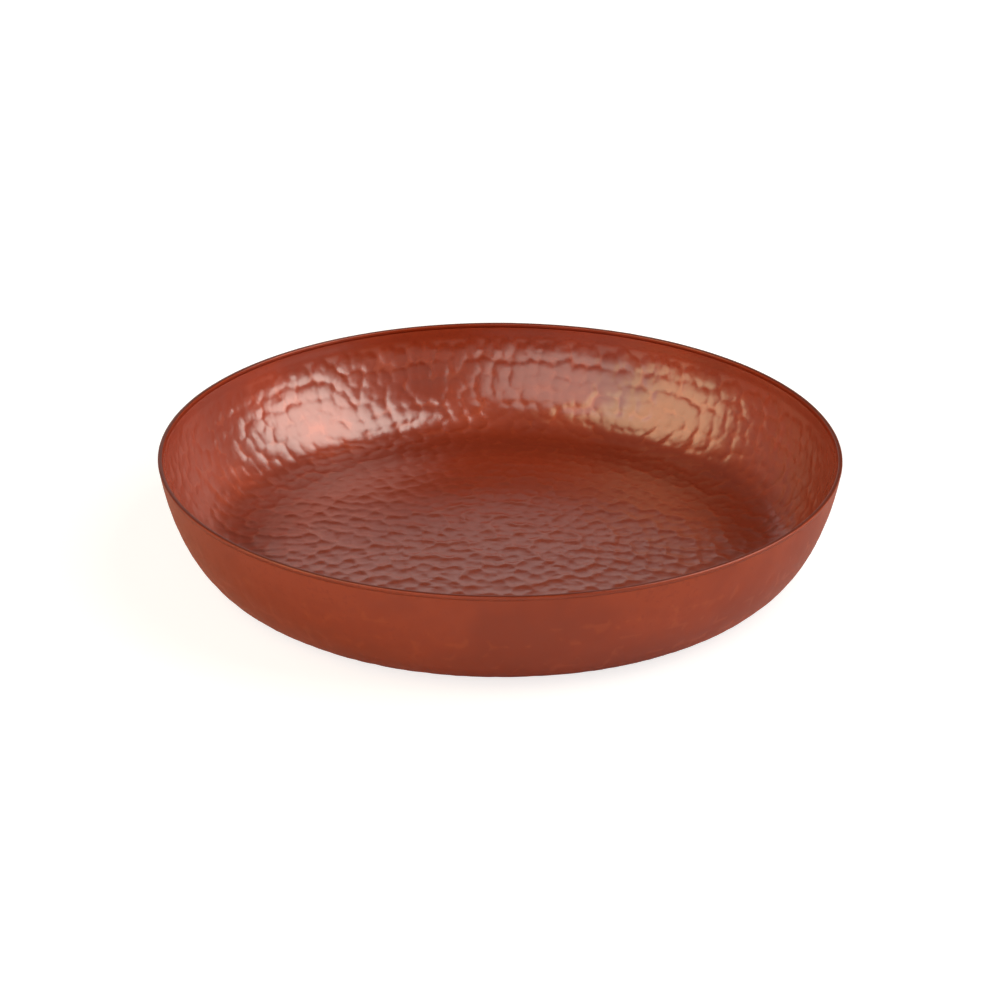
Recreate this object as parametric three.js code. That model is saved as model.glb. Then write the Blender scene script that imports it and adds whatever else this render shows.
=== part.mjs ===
// A round hammered copper tray, in two pieces as a coppersmith makes it: a dish raised from one round sheet,
// and an edge ring soldered on its trimmed top edge. The hammer marks are much shallower than the sheet is
// thick and are left to the finished surface, so both faces of the dish are smooth here.
// Millimetres, +Z up. The origin is the middle of the flat underside, on the surface that the tray stands on.
import * as THREE from "three";

// Driving dimensions.
const RIM_RADIUS = 150; // to the outside of the edge ring
const HEIGHT = 50; // from the underside to the top of the edge ring
const WALL_SPREAD = 30; // how far the rim stands outside the edge of the flat underside
const WALL_CENTRE_OVER_RIM = 16; // how far above the rim the wall's curve is centred; more leans the rim out
const SHEET = 1.2; // thickness of the copper sheet
const RING_WIDTH = 2; // across the lip that is seen from above
const RING_HEIGHT = 2;
const RING_CHAMFER = 0.4; // the eased arrises of the ring
const SOLDER_FILM = 0.1; // joint between the sheet's edge and the ring

// Fineness of the round shapes.
const TURN_STEPS = 72;
const WALL_STEPS = 10;

const COPPER = { color: 0x9a4a30, metalness: 1, roughness: 0.35 };

// The dish's top edge, trimmed level, with the ring centred over the sheet.
const edgeHeight = HEIGHT - RING_HEIGHT - SOLDER_FILM;
const edgeRadius = RIM_RADIUS - RING_WIDTH / 2 + SHEET / 2;

// The outside of the wall is part of an ellipse that is centred above the edge of the flat underside.
// It is tangent to the underside and reaches edgeRadius at edgeHeight, which sets its level half axis.
const baseRadius = RIM_RADIUS - WALL_SPREAD;
const wallCurveHeight = HEIGHT + WALL_CENTRE_OVER_RIM;
const dropShare = (wallCurveHeight - edgeHeight) / wallCurveHeight;
const wallCurveWidth = (edgeRadius - baseRadius) / Math.sqrt(1 - dropShare ** 2);

// A point of the sheet: its angle below the ellipse's level axis, and its depth in from the sheet's outside.
function sheetPoint(angle, depth) {
  const outward = new THREE.Vector2(
    Math.cos(angle) / wallCurveWidth,
    -Math.sin(angle) / wallCurveHeight,
  ).normalize();
  const outside = new THREE.Vector2(
    baseRadius + wallCurveWidth * Math.cos(angle),
    wallCurveHeight * (1 - Math.sin(angle)),
  );
  return outside.addScaledVector(outward, -depth);
}

// The angle at which a face of the sheet reaches the trimmed edge, found by halving.
function edgeAngle(depth) {
  let low = 0;
  let high = Math.PI / 2;
  for (let i = 0; i < 40; i++) {
    const middle = (low + high) / 2;
    if (sheetPoint(middle, depth).y > edgeHeight) low = middle;
    else high = middle;
  }
  return high;
}

// One face of the wall from the base up to the trimmed edge.
function wallFace(depth) {
  const top = edgeAngle(depth);
  const points = [];
  for (let i = 0; i <= WALL_STEPS; i++) {
    const angle = THREE.MathUtils.lerp(Math.PI / 2, top, i / WALL_STEPS);
    points.push(sheetPoint(angle, depth));
  }
  points[WALL_STEPS].y = edgeHeight;
  return points;
}

// Turns a profile of (radius, height) points round the Z axis.
function turned(profile) {
  return new THREE.LatheGeometry(profile, TURN_STEPS).rotateX(Math.PI / 2);
}

function piece(name, geometry) {
  const mesh = new THREE.Mesh(geometry, new THREE.MeshStandardMaterial(COPPER));
  mesh.name = name;
  return mesh;
}

// The raised sheet: floor and wall in one, a constant thickness everywhere.
function trayDish() {
  const profile = [
    new THREE.Vector2(0, 0),
    ...wallFace(0),
    ...wallFace(SHEET).reverse(),
    new THREE.Vector2(0, SHEET),
  ];
  return piece("tray_dish", turned(profile));
}

// The ring: a square wire with eased arrises, bent round and soldered on the dish's edge.
function edgeRing() {
  const inside = RIM_RADIUS - RING_WIDTH;
  const foot = HEIGHT - RING_HEIGHT;
  const arris = RING_CHAMFER;
  const profile = [
    new THREE.Vector2(inside + arris, foot),
    new THREE.Vector2(RIM_RADIUS - arris, foot),
    new THREE.Vector2(RIM_RADIUS, foot + arris),
    new THREE.Vector2(RIM_RADIUS, HEIGHT - arris),
    new THREE.Vector2(RIM_RADIUS - arris, HEIGHT),
    new THREE.Vector2(inside + arris, HEIGHT),
    new THREE.Vector2(inside, HEIGHT - arris),
    new THREE.Vector2(inside, foot + arris),
    new THREE.Vector2(inside + arris, foot),
  ];
  return piece("edge_ring", turned(profile));
}

const tray = new THREE.Group();
tray.add(trayDish(), edgeRing());

export default tray;
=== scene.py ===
"""A hammered copper tray: a dish raised from one round sheet, and the ring soldered on its edge.

The packed model gives the sizes. The dish is made in the order of the craft: a flat round of sheet, raised
to the tray's section, and struck row by row with a crowned hammer. Everything is in metres, +Z up, in the
packed model's frame.
"""

import math

import bpy
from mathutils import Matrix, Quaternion, Vector


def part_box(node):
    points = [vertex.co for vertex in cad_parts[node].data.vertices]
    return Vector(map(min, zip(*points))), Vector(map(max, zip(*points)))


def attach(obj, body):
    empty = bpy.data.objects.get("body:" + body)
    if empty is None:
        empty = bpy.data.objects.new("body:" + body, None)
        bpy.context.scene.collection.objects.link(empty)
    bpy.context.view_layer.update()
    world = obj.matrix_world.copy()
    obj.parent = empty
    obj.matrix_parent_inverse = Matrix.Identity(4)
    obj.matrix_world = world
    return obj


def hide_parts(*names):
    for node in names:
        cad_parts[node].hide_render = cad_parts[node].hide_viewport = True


bl_info = {
    "name": "Hammered Copper Tray",
    "version": (1, 0, 0),
    "blender": (4, 5, 0),
    "location": "3D View > Sidebar > Copper Tray",
    "description": "Raises and planishes a copper dish, puts a ring on its edge and sets up a plain studio",
    "category": "Add Mesh",
}

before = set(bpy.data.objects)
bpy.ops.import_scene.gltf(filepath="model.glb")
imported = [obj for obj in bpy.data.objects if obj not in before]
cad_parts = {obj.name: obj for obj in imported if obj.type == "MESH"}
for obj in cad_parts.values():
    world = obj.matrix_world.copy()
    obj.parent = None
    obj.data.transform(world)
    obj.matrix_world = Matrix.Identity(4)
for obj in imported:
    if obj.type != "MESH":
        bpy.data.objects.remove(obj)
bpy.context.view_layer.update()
dish_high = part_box("tray_dish")[1]
ring_low, ring_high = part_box("edge_ring")

MM = 0.001
FULL_TURN = 2 * math.pi


# Sizes and colours that a user would change.


class TrayShape(bpy.types.PropertyGroup):
    """The section of the tray. The outer sizes come from the packed model."""

    rim_radius: bpy.props.FloatProperty(
        name="Rim radius", description="To the outside of the edge ring",
        default=ring_high.x, unit="LENGTH")
    height: bpy.props.FloatProperty(
        name="Height", description="From the underside to the top of the edge ring",
        default=ring_high.z, unit="LENGTH")
    edge_height: bpy.props.FloatProperty(
        name="Sheet edge", description="Height of the sheet's trimmed edge, just under the ring",
        default=dish_high.z, unit="LENGTH")
    edge_radius: bpy.props.FloatProperty(
        name="Sheet radius", description="Outside radius of the sheet at its trimmed edge",
        default=dish_high.x, unit="LENGTH")
    wall_spread: bpy.props.FloatProperty(
        name="Wall spread", description="How far the rim stands outside the edge of the flat underside",
        default=30 * MM, unit="LENGTH")
    centre_over_rim: bpy.props.FloatProperty(
        name="Curve centre", description="How far above the rim the wall's curve is centred",
        default=16 * MM, unit="LENGTH")
    sheet: bpy.props.FloatProperty(
        name="Sheet thickness", description="Thickness of the copper before it is hammered",
        default=1.2 * MM, unit="LENGTH")
    ring_width: bpy.props.FloatProperty(
        name="Ring width", description="Across the lip, seen from above",
        default=2 * MM, unit="LENGTH")
    corner_easing: bpy.props.FloatProperty(
        name="Corner easing", description="How far the inside turn from floor to wall is eased each way",
        default=9 * MM, unit="LENGTH")
    arris: bpy.props.FloatProperty(
        name="Eased arris", description="Rounding of the ring's two top corners",
        default=0.6 * MM, unit="LENGTH")
    flare: bpy.props.FloatProperty(
        name="Flare", description="How far below the ring the sheet starts to thicken to meet it flush",
        default=6 * MM, unit="LENGTH")
    filing: bpy.props.FloatProperty(
        name="Filing", description="How deep the file has eaten into the ring at most",
        default=0.08 * MM, unit="LENGTH")


class HammerWork(bpy.types.PropertyGroup):
    """How the inside is struck."""

    blow_spacing: bpy.props.FloatProperty(
        name="Blow spacing", description="Distance between neighbouring blows in a row",
        default=7.5 * MM, unit="LENGTH")
    row_spacing: bpy.props.FloatProperty(
        name="Row spacing", description="Distance from one row of blows to the next",
        default=7.3 * MM, unit="LENGTH")
    depth: bpy.props.FloatProperty(
        name="Blow depth", description="How deep the hardest blow dents the sheet",
        default=0.42 * MM, unit="LENGTH")
    depth_spread: bpy.props.FloatProperty(
        name="Depth spread", description="How much shallower the lightest blow is, as a share of the depth",
        default=0.18, min=0, max=1, subtype="FACTOR")
    dent_radius: bpy.props.FloatProperty(
        name="Dent radius", description="How wide the hardest blow's dent is, from its middle to its edge",
        default=5.0 * MM, unit="LENGTH")
    squareness: bpy.props.FloatProperty(
        name="Face squareness", description="2 is a crowned hammer's round dent, more is a flatter face's",
        default=3.0, min=2)
    tilt: bpy.props.FloatProperty(
        name="Tilt", description="How far a blow's face may be out of level, as a slope",
        default=0.05, min=0)
    wander: bpy.props.FloatProperty(
        name="Wander", description="How far a blow lands from its even place",
        default=2.0 * MM, unit="LENGTH")
    ridge_softness: bpy.props.FloatProperty(
        name="Ridge softness", description="Height over which two neighbouring dents blend into a soft ridge",
        default=0.04 * MM, unit="LENGTH")
    plain_band: bpy.props.FloatProperty(
        name="Plain band", description="Width of the band under the rim that is left unstruck",
        default=7.0 * MM, unit="LENGTH")
    outside_share: bpy.props.FloatProperty(
        name="Outside share", description="How much of the dents' depth shows through on the outside",
        default=0.45, min=0, max=1, subtype="FACTOR")
    unevenness: bpy.props.FloatProperty(
        name="Unevenness", description="How far the sheet stands in from its true section, in slow swells",
        default=0.4 * MM, unit="LENGTH")
    seed: bpy.props.IntProperty(
        name="Seed", description="Changes where the blows wander and how hard they are", default=7)
    inside_rings: bpy.props.IntProperty(
        name="Inside rings", description="Fineness of the inside, in rings from the middle to the edge",
        default=170, min=20)
    outside_rings: bpy.props.IntProperty(
        name="Outside rings", description="Fineness of the outside, in rings from the middle to the edge",
        default=60, min=20)


class CopperFinish(bpy.types.PropertyGroup):
    """Colours and gloss of the lacquered copper, and the dark colour of its painted shade."""

    copper: bpy.props.FloatVectorProperty(
        name="Copper", description="Colour of the rubbed copper", subtype="COLOR", size=4,
        min=0, max=1, default=(0.48, 0.058, 0.007, 1))
    patina: bpy.props.FloatVectorProperty(
        name="Patina", description="Colour of the darker clouds and of the hollows", subtype="COLOR", size=4,
        min=0, max=1, default=(0.34, 0.036, 0.005, 1))
    # This colour is painted shade: it darkens the inside corner between floor and wall and the top of the
    # ring, where shade falls.
    tarnish: bpy.props.FloatVectorProperty(
        name="Tarnish", description="Colour where a cloth hardly reaches, and on the filed lip",
        subtype="COLOR", size=4, min=0, max=1, default=(0.14, 0.016, 0.004, 1))
    worn: bpy.props.FloatVectorProperty(
        name="Worn ridges", description="Colour of the ridges, which are rubbed brighter", subtype="COLOR",
        size=4, min=0, max=1, default=(0.58, 0.088, 0.013, 1))
    gloss_roughness: bpy.props.FloatProperty(
        name="Roughness", description="Roughness of the copper under its lacquer",
        default=0.67, min=0, max=1, subtype="FACTOR")


class StudioSettings(bpy.types.PropertyGroup):
    """Camera and light."""

    camera_distance: bpy.props.FloatProperty(
        name="Camera distance", description="From the middle of the rim to the camera",
        default=1.125, unit="LENGTH")
    camera_elevation: bpy.props.FloatProperty(
        name="Camera elevation", description="Angle of the camera above the rim's level",
        default=math.radians(23.46), subtype="ANGLE")
    aim_below_rim: bpy.props.FloatProperty(
        name="Aim below the rim", description="How far the camera points below the middle of the rim",
        default=math.radians(1.28), subtype="ANGLE")
    camera_roll: bpy.props.FloatProperty(
        name="Camera roll", description="How far the camera is tilted sideways",
        default=math.radians(0.26), subtype="ANGLE")
    lens: bpy.props.FloatProperty(
        name="Lens", description="Focal length in millimetres, on a sensor 36 mm wide", default=91.8)
    right_brightness: bpy.props.FloatProperty(
        name="Right softbox", description="Brightness of the tall softbox on the right", default=3.0, min=0)
    left_brightness: bpy.props.FloatProperty(
        name="Left softbox", description="Brightness of the wide softbox on the left", default=1.9, min=0)
    front_brightness: bpy.props.FloatProperty(
        name="Front panel", description="Brightness of the low panel beside the camera", default=1.1, min=0)
    backdrop_brightness: bpy.props.FloatProperty(
        name="Backdrop", description="Brightness of the low backdrop behind the tray", default=0.55, min=0)
    walls_brightness: bpy.props.FloatProperty(
        name="Walls", description="Brightness of the room's walls where the copper reflects them",
        default=0.4, min=0)
    ceiling_brightness: bpy.props.FloatProperty(
        name="Ceiling", description="Brightness of the room overhead", default=0.1, min=0)


# Small helpers for node trees.


def socket_of(sockets, key):
    """A socket by its number, or the first one in use with that name."""
    if isinstance(key, int):
        return sockets[key]
    for socket in sockets:
        if socket.name == key and socket.enabled:
            return socket
    raise KeyError(f"no socket named {key}")


def add(tree, kind, inputs=None, **settings):
    """One new node. Settings are the node's own, and each input is an output to link or a value to set."""
    node = tree.nodes.new(kind)
    for name, value in settings.items():
        setattr(node, name, value)
    for key, value in (inputs or {}).items():
        socket = socket_of(node.inputs, key)
        if isinstance(value, bpy.types.NodeSocket):
            tree.links.new(value, socket)
        else:
            socket.default_value = value
    return node


def calculate(tree, operation, *values):
    """The result of one Math node."""
    return add(tree, "ShaderNodeMath", dict(enumerate(values)), operation=operation).outputs[0]


def combine(tree, operation, *vectors):
    """The result of one Vector Math node on vectors."""
    return add(tree, "ShaderNodeVectorMath", dict(enumerate(vectors)), operation=operation).outputs["Vector"]


def scaled(tree, vector, factor):
    node = add(tree, "ShaderNodeVectorMath", {0: vector, "Scale": factor}, operation="SCALE")
    return node.outputs["Vector"]


def remap(tree, value, low, high, to_low, to_high):
    """A value eased from one range to another, and held at its ends."""
    ends = {"Value": value, "From Min": low, "From Max": high, "To Min": to_low, "To Max": to_high}
    return add(tree, "ShaderNodeMapRange", ends, interpolation_type="SMOOTHSTEP").outputs[0]


def noise(tree, place, scale, detail):
    node = add(tree, "ShaderNodeTexNoise", {"Vector": place, "Scale": scale, "Detail": detail})
    return node.outputs["Fac"]


def new_tree(name, kind, inputs, outputs):
    """A node tree with named inputs and outputs, each given as (name, socket type, default or nothing)."""
    tree = bpy.data.node_groups.new(name, kind)
    for label, socket_type, *default in inputs:
        item = tree.interface.new_socket(name=label, in_out="INPUT", socket_type=socket_type)
        if default:
            item.default_value = default[0]
    for label, socket_type in outputs:
        tree.interface.new_socket(name=label, in_out="OUTPUT", socket_type=socket_type)
    start = tree.nodes.new("NodeGroupInput")
    end = tree.nodes.new("NodeGroupOutput")
    return tree, start.outputs, end.inputs


def run_tree(piece, tree, values):
    """Runs a geometry tree on a piece and keeps the result as its plain mesh."""
    modifier = piece.modifiers.new("Work", "NODES")
    modifier.node_group = tree
    for item in tree.interface.items_tree:
        if item.in_out == "INPUT" and item.name in values:
            modifier[item.identifier] = values[item.name]
    depsgraph = bpy.context.evaluated_depsgraph_get()
    finished = bpy.data.meshes.new_from_object(
        piece.evaluated_get(depsgraph), preserve_all_data_layers=True, depsgraph=depsgraph)
    piece.modifiers.remove(modifier)
    piece.data = finished
    if not finished.polygons:
        raise RuntimeError(f"{piece.name} came out empty")


def new_piece(name, data):
    """A new object at the origin, in the scene."""
    piece = bpy.data.objects.new(name, data)
    bpy.context.scene.collection.objects.link(piece)
    return piece


NUMBER = "NodeSocketFloat"
WHOLE = "NodeSocketInt"
VECTOR = "NodeSocketVector"
COLOUR = "NodeSocketColor"
SHAPE = "NodeSocketGeometry"
OBJECT = "NodeSocketObject"
FINISH = "NodeSocketMaterial"


# The flat sheet, and the tray's section that it is raised to.

HALVINGS = 40
ARC_STEPS = 64
EASING_STEP = 1 * MM


def disc(rings):
    """A round of radius 1. Each ring has six points more than the last, which keeps its triangles even."""
    points = [(0.0, 0.0)]
    triangles = []
    for ring in range(1, rings + 1):
        before = len(points) - max(6 * (ring - 1), 1)
        start = len(points)
        for step in range(6 * ring):
            angle = FULL_TURN * step / (6 * ring)
            points.append((ring / rings * math.cos(angle), ring / rings * math.sin(angle)))
        for outer in range(6 * ring):
            side, step = divmod(outer, ring)
            inner = side * (ring - 1) + step
            here = start + outer
            following = start + (outer + 1) % (6 * ring)
            corner = before + inner % (start - before)
            triangles.append((corner, here, following))
            if step < ring - 1:
                triangles.append((corner, following, before + (inner + 1) % (start - before)))
    return points, triangles


def edge_band(upper, lower):
    """Triangles that join two loops of different counts, which both start at the same angle."""
    triangles = []
    above, below = 0, 0
    while above < len(upper) or below < len(lower):
        corners = upper[above % len(upper)], lower[below % len(lower)]
        if (above + 1) * len(lower) <= (below + 1) * len(upper):
            above += 1
            triangles.append((*corners, upper[above % len(upper)]))
        else:
            below += 1
            triangles.append((*corners, lower[below % len(lower)]))
    return triangles


def flat_sheet(inside_rings, outside_rings):
    """The round of sheet as a closed mesh of radius 1: its inside skin, its outside skin and its cut edge."""
    inside_points, faces = disc(inside_rings)
    outside_points, outside_faces = disc(outside_rings)
    first_outside = len(inside_points)
    points = [(x, y, 0.0) for x, y in inside_points + outside_points]
    faces += [tuple(first_outside + corner for corner in reversed(face)) for face in outside_faces]
    upper = range(first_outside - 6 * inside_rings, first_outside)
    lower = range(len(points) - 6 * outside_rings, len(points))
    faces += edge_band(upper, lower)
    mesh = bpy.data.meshes.new("sheet")
    mesh.from_pydata(points, [], faces)
    inside = mesh.attributes.new("inside", "FLOAT", "POINT")
    inside.data.foreach_set("value", [float(index < first_outside) for index in range(len(points))])
    mesh.polygons.foreach_set("use_smooth", [True] * len(mesh.polygons))
    for edge in mesh.edges:
        start, end = edge.vertices
        edge.use_edge_sharp = (start in upper and end in upper) or (start in lower and end in lower)
    return mesh


def wall_curve(shape):
    """The middle and the two half axes of the ellipse that the wall's outside follows."""
    base = shape.rim_radius - shape.wall_spread
    curve_height = shape.height + shape.centre_over_rim
    drop_share = (curve_height - shape.edge_height) / curve_height
    curve_width = (shape.edge_radius - base) / math.sqrt(1 - drop_share ** 2)
    return base, curve_width, curve_height


def wall_point(shape, angle, depth):
    """A point of the wall in section, by its angle below the level axis and its depth in from the outside."""
    base, curve_width, curve_height = wall_curve(shape)
    outward = Vector((math.cos(angle) / curve_width, -math.sin(angle) / curve_height)).normalized()
    outside = Vector((base + curve_width * math.cos(angle), curve_height * (1 - math.sin(angle))))
    return outside - depth * outward


def edge_angle(shape, depth):
    """The angle at which a face of the sheet reaches its trimmed edge, found by halving."""
    low, high = 0.0, math.pi / 2
    for _ in range(HALVINGS):
        middle = (low + high) / 2
        if wall_point(shape, middle, depth).y > shape.edge_height:
            low = middle
        else:
            high = middle
    return high


def section_points(shape, depth):
    """A face of the sheet in section, as (radius, height): the floor, then the wall up to the cut edge."""
    turn = (edge_angle(shape, depth) - math.pi / 2) / ARC_STEPS
    arc = [tuple(wall_point(shape, math.pi / 2 + turn * step, depth)) for step in range(ARC_STEPS + 1)]
    return [(0.0, depth)] + arc


def eased(points, reach):
    """The section with its corner eased: each point moves to the middle of the stretch within reach of it."""
    stretches = [math.dist(start, end) for start, end in zip(points, points[1:])]
    steps = round(sum(stretches) / EASING_STEP)
    step_length = sum(stretches) / steps
    even = []
    stretch, covered = 0, 0.0
    for step in range(steps + 1):
        target = step * step_length
        while stretch < len(stretches) - 1 and covered + stretches[stretch] < target:
            covered += stretches[stretch]
            stretch += 1
        share = (target - covered) / stretches[stretch]
        even.append(Vector(points[stretch]).lerp(Vector(points[stretch + 1]), share))
    result = []
    for step in range(steps + 1):
        half = min(step, steps - step, round(reach / step_length))
        near = even[step - half:step + half + 1]
        result.append(tuple(sum(near, Vector((0, 0))) / len(near)))
    return result


def ring_foot(shape, ring_height):
    """The radii of the ring's foot, outside and inside. Its faces lean out as the wall does at its edge."""
    _, curve_width, curve_height = wall_curve(shape)
    angle = edge_angle(shape, 0.0)
    lean = curve_width * math.sin(angle) / (curve_height * math.cos(angle))
    outer = shape.rim_radius - ring_height * lean
    return outer, outer - shape.ring_width


def guide(name, points, closed=False):
    """A curve through points, for a geometry tree to read. It is removed afterwards."""
    curve = bpy.data.curves.new(name, "CURVE")
    curve.dimensions = "3D"
    spline = curve.splines.new("POLY")
    spline.points.add(len(points) - 1)
    for place, point in zip(spline.points, points):
        place.co = (*point, 1)
    spline.use_cyclic_u = closed
    return new_piece(name, curve)


def section_guide(name, points):
    """A section of the sheet as a curve in the XZ plane."""
    return guide(name, [(radius, 0, height) for radius, height in points])


# The dish's geometry tree.

BLOWS_APART = 3  # every third blow of a row is in one set
ROW_KINDS = 2  # and every second row, so that blows of one set are never neighbours
SWELLS_PER_METRE = 16  # the sheet's slow unevenness
EVEN_FROM = 0.8  # share of the way to the cut edge, from where the unevenness dies out
CORNER_PAINTED_SHADE = 0.32  # share of painted shade, darker where shade falls in the corner between floor and wall
CORNER_PAINTED_SHADE_IN = 10 * MM  # its middle, in from the edge of the flat underside
CORNER_PAINTED_SHADE_REACH = 22 * MM  # how far it spreads to either side


def section_curve(tree, section):
    """The curve of a section's object."""
    return add(tree, "GeometryNodeObjectInfo", {"Object": section}).outputs["Geometry"]


def on_section(tree, section, way, travelled, mode):
    """A point of a section turned to a level direction, the way out of the sheet there, and its radius."""
    sample = add(tree, "GeometryNodeSampleCurve", {"Curves": section, mode.title(): travelled}, mode=mode)
    place = add(tree, "ShaderNodeSeparateXYZ", {0: sample.outputs["Position"]})
    along = add(tree, "ShaderNodeSeparateXYZ", {0: sample.outputs["Tangent"]})
    height = add(tree, "ShaderNodeCombineXYZ", {"Z": place.outputs["Z"]}).outputs[0]
    down = add(tree, "ShaderNodeCombineXYZ", {"Z": calculate(tree, "MULTIPLY", along.outputs["X"], -1.0)})
    position = combine(tree, "ADD", scaled(tree, way, place.outputs["X"]), height)
    outward = combine(tree, "ADD", scaled(tree, way, along.outputs["Z"]), down.outputs[0])
    return position, outward, place.outputs["X"]


def blow_points(tree, given, section, reach):
    """A point for each blow, in rings from the middle out to reach, with its blow_set from 0 to 5."""
    ratio = calculate(tree, "DIVIDE", reach, given["Row Spacing"])
    rows = calculate(tree, "ROUND", calculate(tree, "ADD", ratio, 0.5))
    pitch = calculate(tree, "DIVIDE", reach, calculate(tree, "SUBTRACT", rows, 0.5))
    starts = add(tree, "GeometryNodePoints", {"Count": rows})
    circle = add(tree, "GeometryNodeCurvePrimitiveCircle", {"Resolution": 3})
    copies = add(tree, "GeometryNodeInstanceOnPoints", {
        "Points": starts.outputs[0], "Instance": circle.outputs[0]})
    rings = add(tree, "GeometryNodeRealizeInstances", {0: copies.outputs[0]}).outputs[0]
    index = add(tree, "GeometryNodeInputIndex").outputs[0]
    row = add(tree, "GeometryNodeFieldOnDomain", {0: index}, data_type="INT", domain="CURVE").outputs[0]
    middle = calculate(tree, "MULTIPLY", calculate(tree, "ADD", row, 0.5), pitch)
    radius = on_section(tree, section, (1, 0, 0), middle, "LENGTH")[2]

    round_length = calculate(tree, "MULTIPLY", radius, FULL_TURN / BLOWS_APART)
    groups = calculate(tree, "ROUND", calculate(tree, "DIVIDE", round_length, given["Blow Spacing"]))
    count = calculate(tree, "MULTIPLY", calculate(tree, "MAXIMUM", groups, 1.0), BLOWS_APART)
    rings = add(tree, "GeometryNodeResampleCurve", {"Curve": rings, "Count": count}, mode="COUNT").outputs[0]

    def luck(low, high, extra_seed, **more):
        seed = calculate(tree, "ADD", given["Seed"], extra_seed)
        limits = {"Min": low, "Max": high}
        return add(tree, "FunctionNodeRandomValue", {**limits, "Seed": seed, **more}).outputs[1]

    least = calculate(tree, "MULTIPLY", given["Wander"], -1.0)
    spline = add(tree, "GeometryNodeSplineParameter")
    start_angle = luck(0.0, FULL_TURN, 0.0, ID=row)
    even_angle = calculate(tree, "MULTIPLY_ADD", spline.outputs["Factor"], FULL_TURN, start_angle)
    sideways = calculate(tree, "DIVIDE", luck(least, given["Wander"], 1.0), radius)
    angle = calculate(tree, "ADD", even_angle, sideways)
    way = add(tree, "ShaderNodeCombineXYZ", {
        "X": calculate(tree, "COSINE", angle), "Y": calculate(tree, "SINE", angle)}).outputs[0]
    landed = calculate(tree, "ADD", middle, luck(least, given["Wander"], 2.0))
    position = on_section(tree, section, way, landed, "LENGTH")[0]

    row_kind = calculate(tree, "MODULO", row, ROW_KINDS)
    blow_kind = calculate(tree, "MODULO", spline.outputs["Index"], BLOWS_APART)
    blow_set = calculate(tree, "MULTIPLY_ADD", row_kind, BLOWS_APART, blow_kind)
    named = add(tree, "GeometryNodeStoreNamedAttribute", {
        "Geometry": rings, "Name": "blow_set", "Value": blow_set}, data_type="INT", domain="POINT")
    placed = add(tree, "GeometryNodeSetPosition", {"Geometry": named.outputs[0], "Position": position})
    return add(tree, "GeometryNodeCurveToPoints", {"Curve": placed.outputs[0]}, mode="EVALUATED").outputs[0]


def struck_height(tree, given, blows, place):
    """The height of the struck surface over the unstruck one at a place: the lowest of the dents there."""
    set_of_blow = add(
        tree, "GeometryNodeInputNamedAttribute", {"Name": "blow_set"}, data_type="INT").outputs[0]
    height = 0.0
    for blow_set in range(BLOWS_APART * ROW_KINDS):
        nearest = add(tree, "GeometryNodeProximity", {
            "Geometry": blows, "Group ID": set_of_blow,
            "Sample Position": place, "Sample Group ID": blow_set}, target_element="POINTS")
        middle = nearest.outputs["Position"]
        in_millimetres = scaled(tree, middle, 1 / MM)
        luck = add(tree, "ShaderNodeTexWhiteNoise", {"Vector": in_millimetres}, noise_dimensions="3D")
        lightness = calculate(tree, "MULTIPLY", luck.outputs["Value"], given["Depth Spread"])
        depth = calculate(tree, "MULTIPLY", calculate(tree, "SUBTRACT", 1.0, lightness), given["Depth"])
        across = calculate(tree, "DIVIDE", nearest.outputs["Distance"], given["Dent Radius"])
        curve = calculate(tree, "POWER", across, given["Squareness"])
        rise = calculate(tree, "MULTIPLY", curve, given["Depth"])
        either_way = combine(tree, "SUBTRACT", luck.outputs["Color"], (0.5, 0.5, 0.5))
        lean = scaled(tree, either_way, given["Tilt"])
        from_middle = combine(tree, "SUBTRACT", place, middle)
        tilted = add(tree, "ShaderNodeVectorMath", {0: from_middle, 1: lean}, operation="DOT_PRODUCT")
        dent = calculate(tree, "ADD", calculate(tree, "SUBTRACT", rise, depth), tilted.outputs["Value"])
        height = calculate(tree, "SMOOTH_MIN", height, dent, given["Ridge Softness"])
    return height


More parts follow.
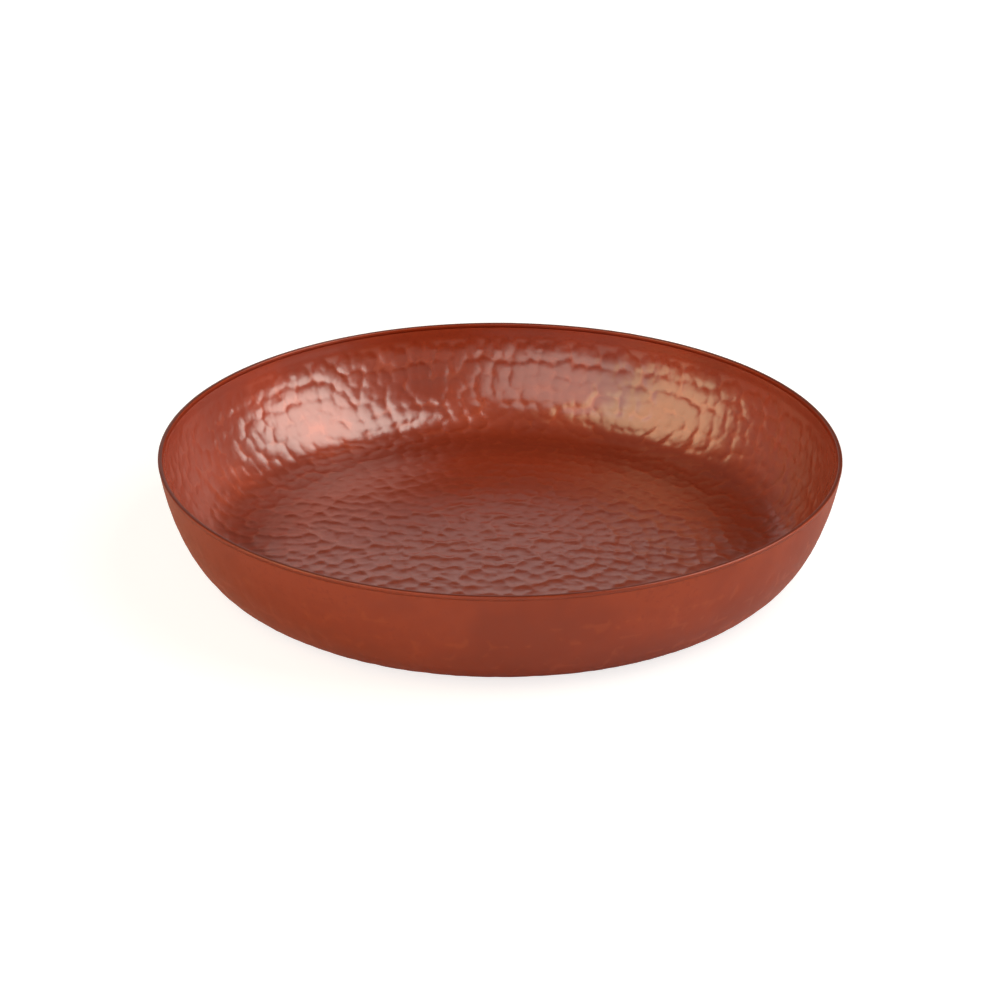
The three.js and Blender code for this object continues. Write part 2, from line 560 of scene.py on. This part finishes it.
def dish_tree():
    """Raises the flat sheet to its section, and dents it where the blows land."""
    tree, given, result = new_tree(
        "Raise And Planish", "GeometryNodeTree",
        [("Sheet", SHAPE), ("Inside Section", OBJECT), ("Outside Section", OBJECT),
         ("Blow Spacing", NUMBER), ("Row Spacing", NUMBER), ("Depth", NUMBER), ("Depth Spread", NUMBER),
         ("Dent Radius", NUMBER), ("Squareness", NUMBER), ("Tilt", NUMBER), ("Wander", NUMBER),
         ("Ridge Softness", NUMBER), ("Plain Band", NUMBER), ("Outside Share", NUMBER),
         ("Unevenness", NUMBER), ("Flare", NUMBER), ("Flare Inward", NUMBER), ("Flare Outward", NUMBER),
         ("Solder Film", NUMBER), ("Base Radius", NUMBER), ("Seed", WHOLE), ("Finish", FINISH)],
        [("Dish", SHAPE)])
    inside_section = section_curve(tree, given["Inside Section"])
    outside_section = section_curve(tree, given["Outside Section"])

    flat = add(tree, "GeometryNodeInputPosition").outputs[0]
    way = combine(tree, "NORMALIZE", flat)
    share = add(tree, "ShaderNodeVectorMath", {0: flat}, operation="LENGTH").outputs["Value"]
    inside = add(tree, "GeometryNodeInputNamedAttribute", {"Name": "inside"}, data_type="FLOAT").outputs[0]
    inner_place, inner_outward, _ = on_section(tree, inside_section, way, share, "FACTOR")
    outer_place, outer_outward, _ = on_section(tree, outside_section, way, share, "FACTOR")

    def by_side(outer, inner):
        mixed = add(tree, "ShaderNodeMix", {"Factor": inside, "A": outer, "B": inner}, data_type="VECTOR")
        return socket_of(mixed.outputs, "Result")

    place = by_side(outer_place, inner_place)
    outward = by_side(outer_outward, inner_outward)

    length = add(tree, "GeometryNodeCurveLength", {0: inside_section}).outputs[0]
    struck_length = calculate(tree, "SUBTRACT", length, given["Plain Band"])
    reach = calculate(tree, "SUBTRACT", struck_length, given["Dent Radius"])
    blows = blow_points(tree, given, inside_section, reach)
    travelled = calculate(tree, "MULTIPLY", share, length)
    height = struck_height(tree, given, blows, place)
    struck = remap(tree, travelled, reach, struck_length, 1.0, 0.0)
    inner_depth = calculate(tree, "MULTIPLY", height, -1.0)
    ridge_height = calculate(tree, "ADD", given["Depth"], height)
    outer_share = calculate(tree, "MULTIPLY", given["Outside Share"], struck)
    bulge = calculate(tree, "MULTIPLY", ridge_height, outer_share)
    outer_depth = calculate(tree, "MULTIPLY", bulge, -1.0)
    depth = add(tree, "ShaderNodeMix", {"Factor": inside, "A": outer_depth, "B": inner_depth}).outputs[0]

    swell = noise(tree, place, SWELLS_PER_METRE, 1.0)
    unevenness = calculate(tree, "MULTIPLY", swell, given["Unevenness"])
    uneven = calculate(tree, "MULTIPLY", unevenness, remap(tree, share, EVEN_FROM, 1.0, 1.0, 0.0))
    flare_start = calculate(tree, "SUBTRACT", length, given["Flare"])
    flared = remap(tree, travelled, flare_start, length, 0.0, 1.0)
    inward = calculate(tree, "MULTIPLY", given["Flare Inward"], -1.0)
    flare = add(tree, "ShaderNodeMix", {
        "Factor": inside, "A": given["Flare Outward"], "B": inward}).outputs[0]
    offset = calculate(tree, "SUBTRACT", depth, uneven)
    struck_place = combine(tree, "ADD", place, scaled(tree, outward, offset))
    spread = scaled(tree, way, calculate(tree, "MULTIPLY", flare, flared))
    rise = add(tree, "ShaderNodeCombineXYZ", {"Z": calculate(tree, "MULTIPLY", given["Solder Film"], flared)})
    final = combine(tree, "ADD", combine(tree, "ADD", struck_place, spread), rise.outputs[0])

    # Painted shade: the inside is darkened towards the shade colour in a band round the corner between floor
    # and wall.
    painted_shade_middle = calculate(tree, "SUBTRACT", given["Base Radius"], CORNER_PAINTED_SHADE_IN)
    from_painted_shade_middle = calculate(tree, "ABSOLUTE", calculate(tree, "SUBTRACT", travelled, painted_shade_middle))
    corner = remap(tree, from_painted_shade_middle, 0.0, CORNER_PAINTED_SHADE_REACH, CORNER_PAINTED_SHADE, 0.0)
    relative_ridge = calculate(tree, "DIVIDE", ridge_height, given["Depth"])
    masks = {
        "tarnish": calculate(tree, "MULTIPLY", corner, inside),
        "hollow": calculate(tree, "DIVIDE", inner_depth, given["Depth"]),
        "ridge": calculate(tree, "MULTIPLY", relative_ridge, struck),
    }
    dish = given["Sheet"]
    for name, value in masks.items():
        dish = add(tree, "GeometryNodeStoreNamedAttribute", {
            "Geometry": dish, "Name": name, "Value": value}, data_type="FLOAT", domain="POINT").outputs[0]
    shaped = add(tree, "GeometryNodeSetPosition", {"Geometry": dish, "Position": final})
    real = add(tree, "GeometryNodeRealizeInstances", {0: shaped.outputs[0]})
    finished = add(tree, "GeometryNodeSetMaterial", {
        "Geometry": real.outputs[0], "Material": given["Finish"]})
    tree.links.new(finished.outputs[0], result["Dish"])
    return tree


# The ring.

RING_STEPS = 480
ARRIS_STEPS = 5
FOOT_FACES = -0.9  # the flat foot faces further down than this
FILE_STROKES_PER_METRE = 90
FILED_DOWN_TO = 1.5 * MM  # below this the joint with the sheet stays even
LIP_PAINTED_SHADE = 0.6  # share of painted shade on top of the lip, darker where it faces up
SIDE_PAINTED_SHADE = 0.12  # and on its sides
TOP_FACES = (0.4, 0.9)  # a face counts as the top of the lip as it turns up from the first to the second


def ring_section(shape, ring_height):
    """The filed ring in section, as (out from the rim radius, up from the rim). Its top corners are round."""
    foot_outside, foot_inside = (radius - shape.rim_radius for radius in ring_foot(shape, ring_height))
    points = [(foot_inside, -ring_height), (foot_outside, -ring_height)]
    for middle, start in ((-shape.arris, 0.0), (shape.arris - shape.ring_width, math.pi / 2)):
        for step in range(ARRIS_STEPS + 1):
            angle = start + step / ARRIS_STEPS * math.pi / 2
            points.append((
                middle + shape.arris * math.cos(angle),
                shape.arris * (math.sin(angle) - 1),
            ))
    return points


def ring_tree():
    """The filed section carried round the rim."""
    tree, given, result = new_tree(
        "Bend The Ring", "GeometryNodeTree",
        [("Start", SHAPE), ("Section", OBJECT), ("Radius", NUMBER), ("Height", NUMBER), ("Filing", NUMBER),
         ("Finish", FINISH)],
        [("Ring", SHAPE)])
    circle = add(tree, "GeometryNodeCurvePrimitiveCircle", {
        "Resolution": RING_STEPS, "Radius": given["Radius"]})
    lift = add(tree, "ShaderNodeCombineXYZ", {"Z": given["Height"]}).outputs[0]
    path = add(tree, "GeometryNodeSetPosition", {"Geometry": circle.outputs[0], "Offset": lift})
    wire = add(tree, "GeometryNodeCurveToMesh", {
        "Curve": path.outputs[0], "Profile Curve": section_curve(tree, given["Section"])}).outputs[0]
    place = add(tree, "GeometryNodeInputPosition").outputs[0]
    height = add(tree, "ShaderNodeSeparateXYZ", {0: place}).outputs["Z"]
    facing = add(tree, "GeometryNodeInputNormal").outputs[0]
    up = add(tree, "ShaderNodeSeparateXYZ", {0: facing}).outputs["Z"]
    over_rim = calculate(tree, "SUBTRACT", height, given["Height"])
    share = remap(tree, over_rim, -FILED_DOWN_TO, 0.0, 0.0, -1.0)
    strokes = noise(tree, place, FILE_STROKES_PER_METRE, 1.0)
    depth = calculate(tree, "MULTIPLY", calculate(tree, "MULTIPLY", strokes, given["Filing"]), share)
    filed = add(tree, "GeometryNodeSetPosition", {"Geometry": wire, "Offset": scaled(tree, facing, depth)})
    # Painted shade: the ring is darkened by how far each face turns up, most on top of the lip.
    tarnish = remap(tree, up, *TOP_FACES, SIDE_PAINTED_SHADE, LIP_PAINTED_SHADE)
    named = add(tree, "GeometryNodeStoreNamedAttribute", {
        "Geometry": filed.outputs[0], "Name": "tarnish", "Value": tarnish}, data_type="FLOAT", domain="POINT")
    above_foot = add(tree, "FunctionNodeCompare", {"A": up, "B": FOOT_FACES}, data_type="FLOAT").outputs[0]
    smooth = add(tree, "GeometryNodeSetShadeSmooth", {
        "Geometry": named.outputs[0], "Shade Smooth": above_foot})
    real = add(tree, "GeometryNodeRealizeInstances", {0: smooth.outputs[0]})
    finished = add(tree, "GeometryNodeSetMaterial", {
        "Geometry": real.outputs[0], "Material": given["Finish"]})
    tree.links.new(finished.outputs[0], result["Ring"])
    return tree


# Finishes.

SPECKS_PER_METRE = 420
SPECK_PATINA = 0.3  # share of patina in a speck
HOLLOW_PATINA = 0.2  # and at the bottom of a dent
RIDGE_WEAR = 0.3  # share of bright metal on a ridge
# Between these values of its noise or height, each effect goes from nothing to full.
CLOUD_EDGES = (0.38, 0.66)
SPECK_EDGES = (0.5, 0.75)
HOLLOW_EDGES = (0.35, 1.0)
RIDGE_EDGES = (0.62, 1.0)
SCRATCH_EDGES = (0.62, 0.7)
SCRATCH_TURNS = (math.radians(20), math.radians(75), math.radians(140))
SCRATCH_STRETCH = (40, 2200, 2200)  # scratches are long one way and fine the other, per metre
OUTSIDE_LACQUER = 0.35  # share of the lacquer that is left outside and on the lip, where the tray is handled
LACQUER_IOR = 2.1
LACQUER_ROUGHNESS = 0.26
DULLNESS_RANGE = (-0.5, 1.0)  # from the brightest wear to the deepest patina
GLOSSIER, DULLER = -0.06, 0.1  # what they do to the roughness
GRAIN_PER_METRE = 2600
GRAIN_DEPTH = 0.012 * MM
# What differs between the two pieces, with the marks that each one's mesh stores.
HAMMERED_LOOK = {
    "clouds_per_metre": 22, "cloud_share": 0.55, "scratch_share": 0.6,
    "marks": {"Hollow": "hollow", "Ridge": "ridge", "Tarnish Share": "tarnish"}, "has_inside": True,
}
PLAIN_LOOK = {
    "clouds_per_metre": 40, "cloud_share": 0.4, "scratch_share": 0.8,
    "marks": {"Tarnish Share": "tarnish"}, "has_inside": False,
}


def mixed_colour(tree, factor, first, second):
    node = add(tree, "ShaderNodeMix", {"Factor": factor, "A": first, "B": second}, data_type="RGBA")
    return socket_of(node.outputs, "Result")


def patina_group():
    """Copper that is darker in slow clouds and in its hollows, rubbed bright on its ridges, and mixed towards
    a painted shade colour by a stored share.
    """
    tree, given, result = new_tree(
        "Patina", "ShaderNodeTree",
        [("Place", VECTOR), ("Copper", COLOUR), ("Patina", COLOUR), ("Tarnish", COLOUR), ("Worn", COLOUR),
         ("Hollow", NUMBER), ("Ridge", NUMBER), ("Tarnish Share", NUMBER), ("Cloud Scale", NUMBER),
         ("Cloud Share", NUMBER)],
        [("Colour", COLOUR), ("Dullness", NUMBER)])
    clouds = noise(tree, given["Place"], given["Cloud Scale"], 3.0)
    cloud = calculate(tree, "MULTIPLY", remap(tree, clouds, *CLOUD_EDGES, 0.0, 1.0), given["Cloud Share"])
    spots = noise(tree, given["Place"], SPECKS_PER_METRE, 2.0)
    specks = remap(tree, spots, *SPECK_EDGES, 0.0, SPECK_PATINA)
    deep = remap(tree, given["Hollow"], *HOLLOW_EDGES, 0.0, HOLLOW_PATINA)
    dark = calculate(tree, "MAXIMUM", calculate(tree, "MAXIMUM", cloud, deep), specks)
    aged = mixed_colour(tree, dark, given["Copper"], given["Patina"])
    # Painted shade: the colour is mixed towards the shade colour by the share that the mesh stores.
    with_painted_shade = mixed_colour(tree, given["Tarnish Share"], aged, given["Tarnish"])
    bright = remap(tree, given["Ridge"], *RIDGE_EDGES, 0.0, RIDGE_WEAR)
    rubbed = mixed_colour(tree, bright, with_painted_shade, given["Worn"])
    tree.links.new(rubbed, result["Colour"])
    tree.links.new(calculate(tree, "SUBTRACT", dark, bright), result["Dullness"])
    return tree


def grain_group():
    """The fine grain and the rubbing scratches of a hand finish, as a height from 0 to 1."""
    tree, given, result = new_tree(
        "Hand Rubbed Grain", "ShaderNodeTree",
        [("Place", VECTOR), ("Grain Scale", NUMBER), ("Scratch Share", NUMBER)], [("Height", NUMBER)])
    grain = noise(tree, given["Place"], given["Grain Scale"], 2.0)
    marks = 0.0
    for turn in SCRATCH_TURNS:
        turned = add(tree, "ShaderNodeMapping", {
            "Vector": given["Place"], "Rotation": (0, 0, turn), "Scale": SCRATCH_STRETCH})
        lines = remap(tree, noise(tree, turned.outputs[0], 1.0, 1.0), *SCRATCH_EDGES, 0.0, 1.0)
        marks = calculate(tree, "MAXIMUM", marks, lines)
    cut = calculate(tree, "MULTIPLY", marks, given["Scratch Share"])
    tree.links.new(calculate(tree, "SUBTRACT", grain, cut), result["Height"])
    return tree


def stored_value(tree, name):
    """What the mesh has stored under a name."""
    return add(tree, "ShaderNodeAttribute", attribute_name=name).outputs["Fac"]


def group_node(tree, group, values):
    """A node of a shader group, with its inputs linked or set by name."""
    node = add(tree, "ShaderNodeGroup", node_tree=group)
    for label, value in values.items():
        if isinstance(value, bpy.types.NodeSocket):
            tree.links.new(value, node.inputs[label])
        else:
            node.inputs[label].default_value = value
    return node


def lacquered_copper(name, finish, groups, look):
    """Copper under clear lacquer. The look holds what differs from one piece to another."""
    material = bpy.data.materials.new(name)
    material.use_nodes = True
    tree = material.node_tree
    surface = tree.nodes["Principled BSDF"]
    place = add(tree, "ShaderNodeTexCoord").outputs["Object"]
    marks = {label: stored_value(tree, name) for label, name in look["marks"].items()}
    patina = group_node(tree, groups["patina"], {
        "Place": place, **marks,
        "Copper": finish.copper, "Patina": finish.patina, "Tarnish": finish.tarnish, "Worn": finish.worn,
        "Cloud Scale": look["clouds_per_metre"], "Cloud Share": look["cloud_share"]})
    grain = group_node(tree, groups["grain"], {
        "Place": place, "Grain Scale": GRAIN_PER_METRE, "Scratch Share": look["scratch_share"]})
    tree.links.new(patina.outputs["Colour"], surface.inputs["Base Color"])
    roughness = remap(tree, patina.outputs["Dullness"], *DULLNESS_RANGE,
                      finish.gloss_roughness + GLOSSIER, finish.gloss_roughness + DULLER)
    tree.links.new(roughness, surface.inputs["Roughness"])
    bump = add(tree, "ShaderNodeBump", {
        "Strength": 1.0, "Distance": GRAIN_DEPTH, "Height": grain.outputs["Height"]})
    tree.links.new(bump.outputs[0], surface.inputs["Normal"])
    surface.inputs["Metallic"].default_value = 1.0
    surface.inputs["Coat Weight"].default_value = OUTSIDE_LACQUER
    if look["has_inside"]:
        lacquer = remap(tree, stored_value(tree, "inside"), 0.0, 1.0, OUTSIDE_LACQUER, 1.0)
        tree.links.new(lacquer, surface.inputs["Coat Weight"])
    surface.inputs["Coat Roughness"].default_value = LACQUER_ROUGHNESS
    surface.inputs["Coat IOR"].default_value = LACQUER_IOR
    return material


def shared_groups():
    """The shader groups that both finishes use, built once."""
    return {
        "patina": bpy.data.node_groups.get("Patina") or patina_group(),
        "grain": bpy.data.node_groups.get("Hand Rubbed Grain") or grain_group(),
    }


# The studio.

FLOOR_RADIUS = 20
FLOOR_SIDES = 64
TOUCHING = 2 * MM  # how close to the board a surface counts as standing on it
BOARD_GLOW = (0.75, 1.1)  # round the tray, and far from it where less of the lamps' light falls
GLOW_RISES = (0.5, 2.0)  # between these distances from the middle
BOARD_GREY = (0.5, 0.5, 0.5, 1)  # the board without its own glow
REFLECTED_GREY = (0.74, 0.74, 0.74, 1)  # the board as the copper reflects it
SOFTBOX_DISTANCE = 1.6
CEILING_FROM = math.sin(math.radians(37))  # the room is darkest above this
WHITE = (1, 1, 1)
SOFT_WHITE = (1, 0.99, 0.9)
WARM_WHITE = (1, 0.9, 0.54)
WALL_COLOUR = (1, 0.9, 0.78, 1)
SENSOR_WIDTH = 36  # in millimetres, as camera makers give it


def lit_board():
    """White board lit from below, as on a product table. Its reflection in the copper is greyer than itself.

    It can be seen through from below, and lets light through close under the tray, so that the underside
    can be looked at.
    """
    material = bpy.data.materials.new("pale_board")
    material.use_nodes = True
    tree = material.node_tree
    board = tree.nodes["Principled BSDF"]
    board.inputs["Base Color"].default_value = BOARD_GREY
    board.inputs["Roughness"].default_value = 0.9
    board.inputs["Specular IOR Level"].default_value = 0.0
    board.inputs["Emission Strength"].default_value = 1.0
    spot = add(tree, "ShaderNodeTexCoord").outputs["Object"]
    from_middle = add(tree, "ShaderNodeVectorMath", {0: spot}, operation="LENGTH").outputs["Value"]
    glow = remap(tree, from_middle, *GLOW_RISES, *BOARD_GLOW)
    tree.links.new(glow, board.inputs["Emission Color"])
    grey = add(tree, "ShaderNodeBsdfDiffuse", {"Color": REFLECTED_GREY})
    clear = add(tree, "ShaderNodeBsdfTransparent")
    path = add(tree, "ShaderNodeLightPath").outputs
    above = add(tree, "ShaderNodeMixShader", {
        0: path["Is Camera Ray"], 1: grey.outputs[0], 2: board.outputs[0]})
    below = add(tree, "ShaderNodeNewGeometry").outputs["Backfacing"]
    touching = calculate(tree, "LESS_THAN", path["Ray Length"], TOUCHING)
    open_board = calculate(tree, "MAXIMUM", below, touching)
    either = add(tree, "ShaderNodeMixShader", {0: open_board, 1: above.outputs[0], 2: clear.outputs[0]})
    tree.links.new(either.outputs[0], tree.nodes["Material Output"].inputs["Surface"])
    return material


def floor_disc():
    """The board that the tray stands on, wide enough to reach the horizon."""
    angles = [FULL_TURN * step / FLOOR_SIDES for step in range(FLOOR_SIDES)]
    rim = [(FLOOR_RADIUS * math.cos(angle), FLOOR_RADIUS * math.sin(angle), 0) for angle in angles]
    mesh = bpy.data.meshes.new("floor")
    mesh.from_pydata(rim, [], [tuple(range(FLOOR_SIDES))])
    mesh.materials.append(lit_board())
    floor = new_piece("floor", mesh)
    return floor


def softbox(name, aim, azimuth, elevation, width, height, brightness, tint):
    """A soft panel of light that faces the aim, unseen by the camera. In degrees, azimuth counts from +X."""
    light = bpy.data.lights.new(name, "AREA")
    light.shape = "RECTANGLE"
    light.size = width
    light.size_y = height
    light.color = tint
    light.energy = brightness * math.pi * width * height
    lamp = new_piece(name, light)
    turn, climb = math.radians(azimuth), math.radians(elevation)
    level = math.cos(climb)
    towards = Vector((level * math.cos(turn), level * math.sin(turn), math.sin(climb)))
    lamp.location = aim + SOFTBOX_DISTANCE * towards
    lamp.rotation_euler = (-towards).to_track_quat("-Z", "Y").to_euler()
    lamp.visible_camera = False
    return lamp


def plain_room(walls, ceiling):
    """White all round to the camera. In reflections its walls are dimmer, and darken up to the ceiling."""
    world = bpy.data.worlds.new("plain_room")
    world.use_nodes = True
    tree = world.node_tree
    white = tree.nodes["Background"]
    white.inputs["Color"].default_value = (1, 1, 1, 1)
    direction = add(tree, "ShaderNodeTexCoord").outputs["Generated"]
    height = add(tree, "ShaderNodeSeparateXYZ", {0: direction}).outputs["Z"]
    brightness = remap(tree, height, 0.0, CEILING_FROM, walls, ceiling)
    dim = add(tree, "ShaderNodeBackground", {"Color": WALL_COLOUR, "Strength": brightness})
    seen = add(tree, "ShaderNodeLightPath").outputs["Is Camera Ray"]
    room = add(tree, "ShaderNodeMixShader", {0: seen, 1: dim.outputs[0], 2: white.outputs[0]})
    tree.links.new(room.outputs[0], tree.nodes["World Output"].inputs["Surface"])
    return world


def place_camera(studio, rim_middle):
    """The camera, in front of the tray and above its rim."""
    data = bpy.data.cameras.new("camera")
    data.lens = studio.lens
    data.sensor_width = SENSOR_WIDTH
    camera = new_piece("camera", data)
    angle = studio.camera_elevation
    camera.location = rim_middle + studio.camera_distance * Vector((0, -math.cos(angle), math.sin(angle)))
    angle += studio.aim_below_rim
    aim = Vector((0, math.cos(angle), -math.sin(angle)))
    level = aim.to_track_quat("-Z", "Y")
    camera.rotation_euler = (level @ Quaternion((0, 0, 1), studio.camera_roll)).to_euler()
    bpy.context.scene.camera = camera


# Operators, one for each piece and one for the stage.


def finish_piece(piece, node):
    """Tells the frame what a finished piece stands for."""
    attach(piece, "root")
    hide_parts(node)


class COPPERTRAY_OT_dish(bpy.types.Operator):
    """Raise the dish from flat sheet and planish its inside, row by row"""

    bl_idname = "coppertray.dish"
    bl_label = "Raise And Planish The Dish"
    bl_options = {"REGISTER", "UNDO"}

    def execute(self, context):
        shape = context.scene.tray_shape
        work = context.scene.hammer_work
        material = lacquered_copper(
            "hammered_copper", context.scene.copper_finish, shared_groups(), HAMMERED_LOOK)
        foot_outside, foot_inside = ring_foot(shape, ring_high.z - ring_low.z)
        inner_points = section_points(shape, shape.sheet)
        inner_edge = inner_points[-1][0]
        inside = section_guide("inside_section", eased(inner_points, shape.corner_easing))
        outside = section_guide("outside_section", section_points(shape, 0.0))
        dish = new_piece("hammered_dish", flat_sheet(work.inside_rings, work.outside_rings))
        run_tree(dish, dish_tree(), {
            "Inside Section": inside, "Outside Section": outside, "Blow Spacing": work.blow_spacing,
            "Row Spacing": work.row_spacing, "Depth": work.depth, "Depth Spread": work.depth_spread,
            "Dent Radius": work.dent_radius, "Squareness": work.squareness, "Tilt": work.tilt,
            "Wander": work.wander, "Ridge Softness": work.ridge_softness,
            "Plain Band": work.plain_band, "Outside Share": work.outside_share, "Unevenness": work.unevenness,
            "Flare": shape.flare, "Flare Inward": inner_edge - foot_inside,
            "Flare Outward": foot_outside - shape.edge_radius, "Solder Film": ring_low.z - shape.edge_height,
            "Base Radius": shape.rim_radius - shape.wall_spread, "Seed": work.seed, "Finish": material})
        for section in (inside, outside):
            bpy.data.curves.remove(section.data)
        finish_piece(dish, "tray_dish")
        return {"FINISHED"}


class COPPERTRAY_OT_ring(bpy.types.Operator):
    """Bend the edge ring and set it on the dish's cut edge"""

    bl_idname = "coppertray.ring"
    bl_label = "Bend The Edge Ring"
    bl_options = {"REGISTER", "UNDO"}

    def execute(self, context):
        shape = context.scene.tray_shape
        material = lacquered_copper("plain_copper", context.scene.copper_finish, shared_groups(), PLAIN_LOOK)
        ring_height = ring_high.z - ring_low.z
        points = reversed(ring_section(shape, ring_height))
        section = guide("ring_section", [(across, -up, 0) for across, up in points], closed=True)
        ring = new_piece("rim_ring", bpy.data.meshes.new("wire"))
        run_tree(ring, ring_tree(), {
            "Section": section, "Radius": shape.rim_radius, "Height": shape.height,
            "Filing": shape.filing, "Finish": material})
        bpy.data.curves.remove(section.data)
        finish_piece(ring, "edge_ring")
        return {"FINISHED"}


class COPPERTRAY_OT_stage(bpy.types.Operator):
    """Set the camera, the pale floor and the soft lights"""

    bl_idname = "coppertray.stage"
    bl_label = "Set The Studio"
    bl_options = {"REGISTER", "UNDO"}

    def execute(self, context):
        studio = context.scene.tray_studio
        rim_middle = Vector((0, 0, context.scene.tray_shape.height))
        place_camera(studio, rim_middle)
        floor_disc()
        softbox("right_softbox", rim_middle, azimuth=-6, elevation=37, width=1.3, height=2.1,
                brightness=studio.right_brightness, tint=SOFT_WHITE)
        softbox("left_softbox", rim_middle, azimuth=197, elevation=33, width=1.1, height=1.9,
                brightness=studio.left_brightness, tint=WARM_WHITE)
        softbox("front_panel", rim_middle, azimuth=246, elevation=30, width=1.6, height=1.2,
                brightness=studio.front_brightness, tint=SOFT_WHITE)
        softbox("backdrop", rim_middle, azimuth=98, elevation=14, width=0.9, height=0.75,
                brightness=studio.backdrop_brightness, tint=WHITE)
        context.scene.world = plain_room(studio.walls_brightness, studio.ceiling_brightness)
        context.scene.view_settings.view_transform = "Standard"
        return {"FINISHED"}


class COPPERTRAY_PT_panel(bpy.types.Panel):
    """The tray's sizes, finish and studio, and the steps that make them"""

    bl_idname = "COPPERTRAY_PT_panel"
    bl_label = "Copper Tray"
    bl_space_type = "VIEW_3D"
    bl_region_type = "UI"
    bl_category = "Copper Tray"

    def draw(self, context):
        for group in ("tray_shape", "hammer_work", "copper_finish", "tray_studio"):
            settings = getattr(context.scene, group)
            box = self.layout.box()
            box.label(text=SETTINGS[group].__doc__.split(".")[0])
            for name in SETTINGS[group].__annotations__:
                box.prop(settings, name)
        for operator in STEPS:
            self.layout.operator(operator.bl_idname)


SETTINGS = {
    "tray_shape": TrayShape, "hammer_work": HammerWork, "copper_finish": CopperFinish,
    "tray_studio": StudioSettings,
}
STEPS = (COPPERTRAY_OT_stage, COPPERTRAY_OT_dish, COPPERTRAY_OT_ring)


def register():
    for cls in (*SETTINGS.values(), *STEPS, COPPERTRAY_PT_panel):
        bpy.utils.register_class(cls)
    for name, cls in SETTINGS.items():
        setattr(bpy.types.Scene, name, bpy.props.PointerProperty(type=cls))


def unregister():
    for name in SETTINGS:
        delattr(bpy.types.Scene, name)
    for cls in (COPPERTRAY_PT_panel, *STEPS, *SETTINGS.values()):
        bpy.utils.unregister_class(cls)


def main():
    register()
    bpy.ops.coppertray.stage()
    bpy.ops.coppertray.dish()
    bpy.ops.coppertray.ring()


if __name__ == "__main__":
    main()
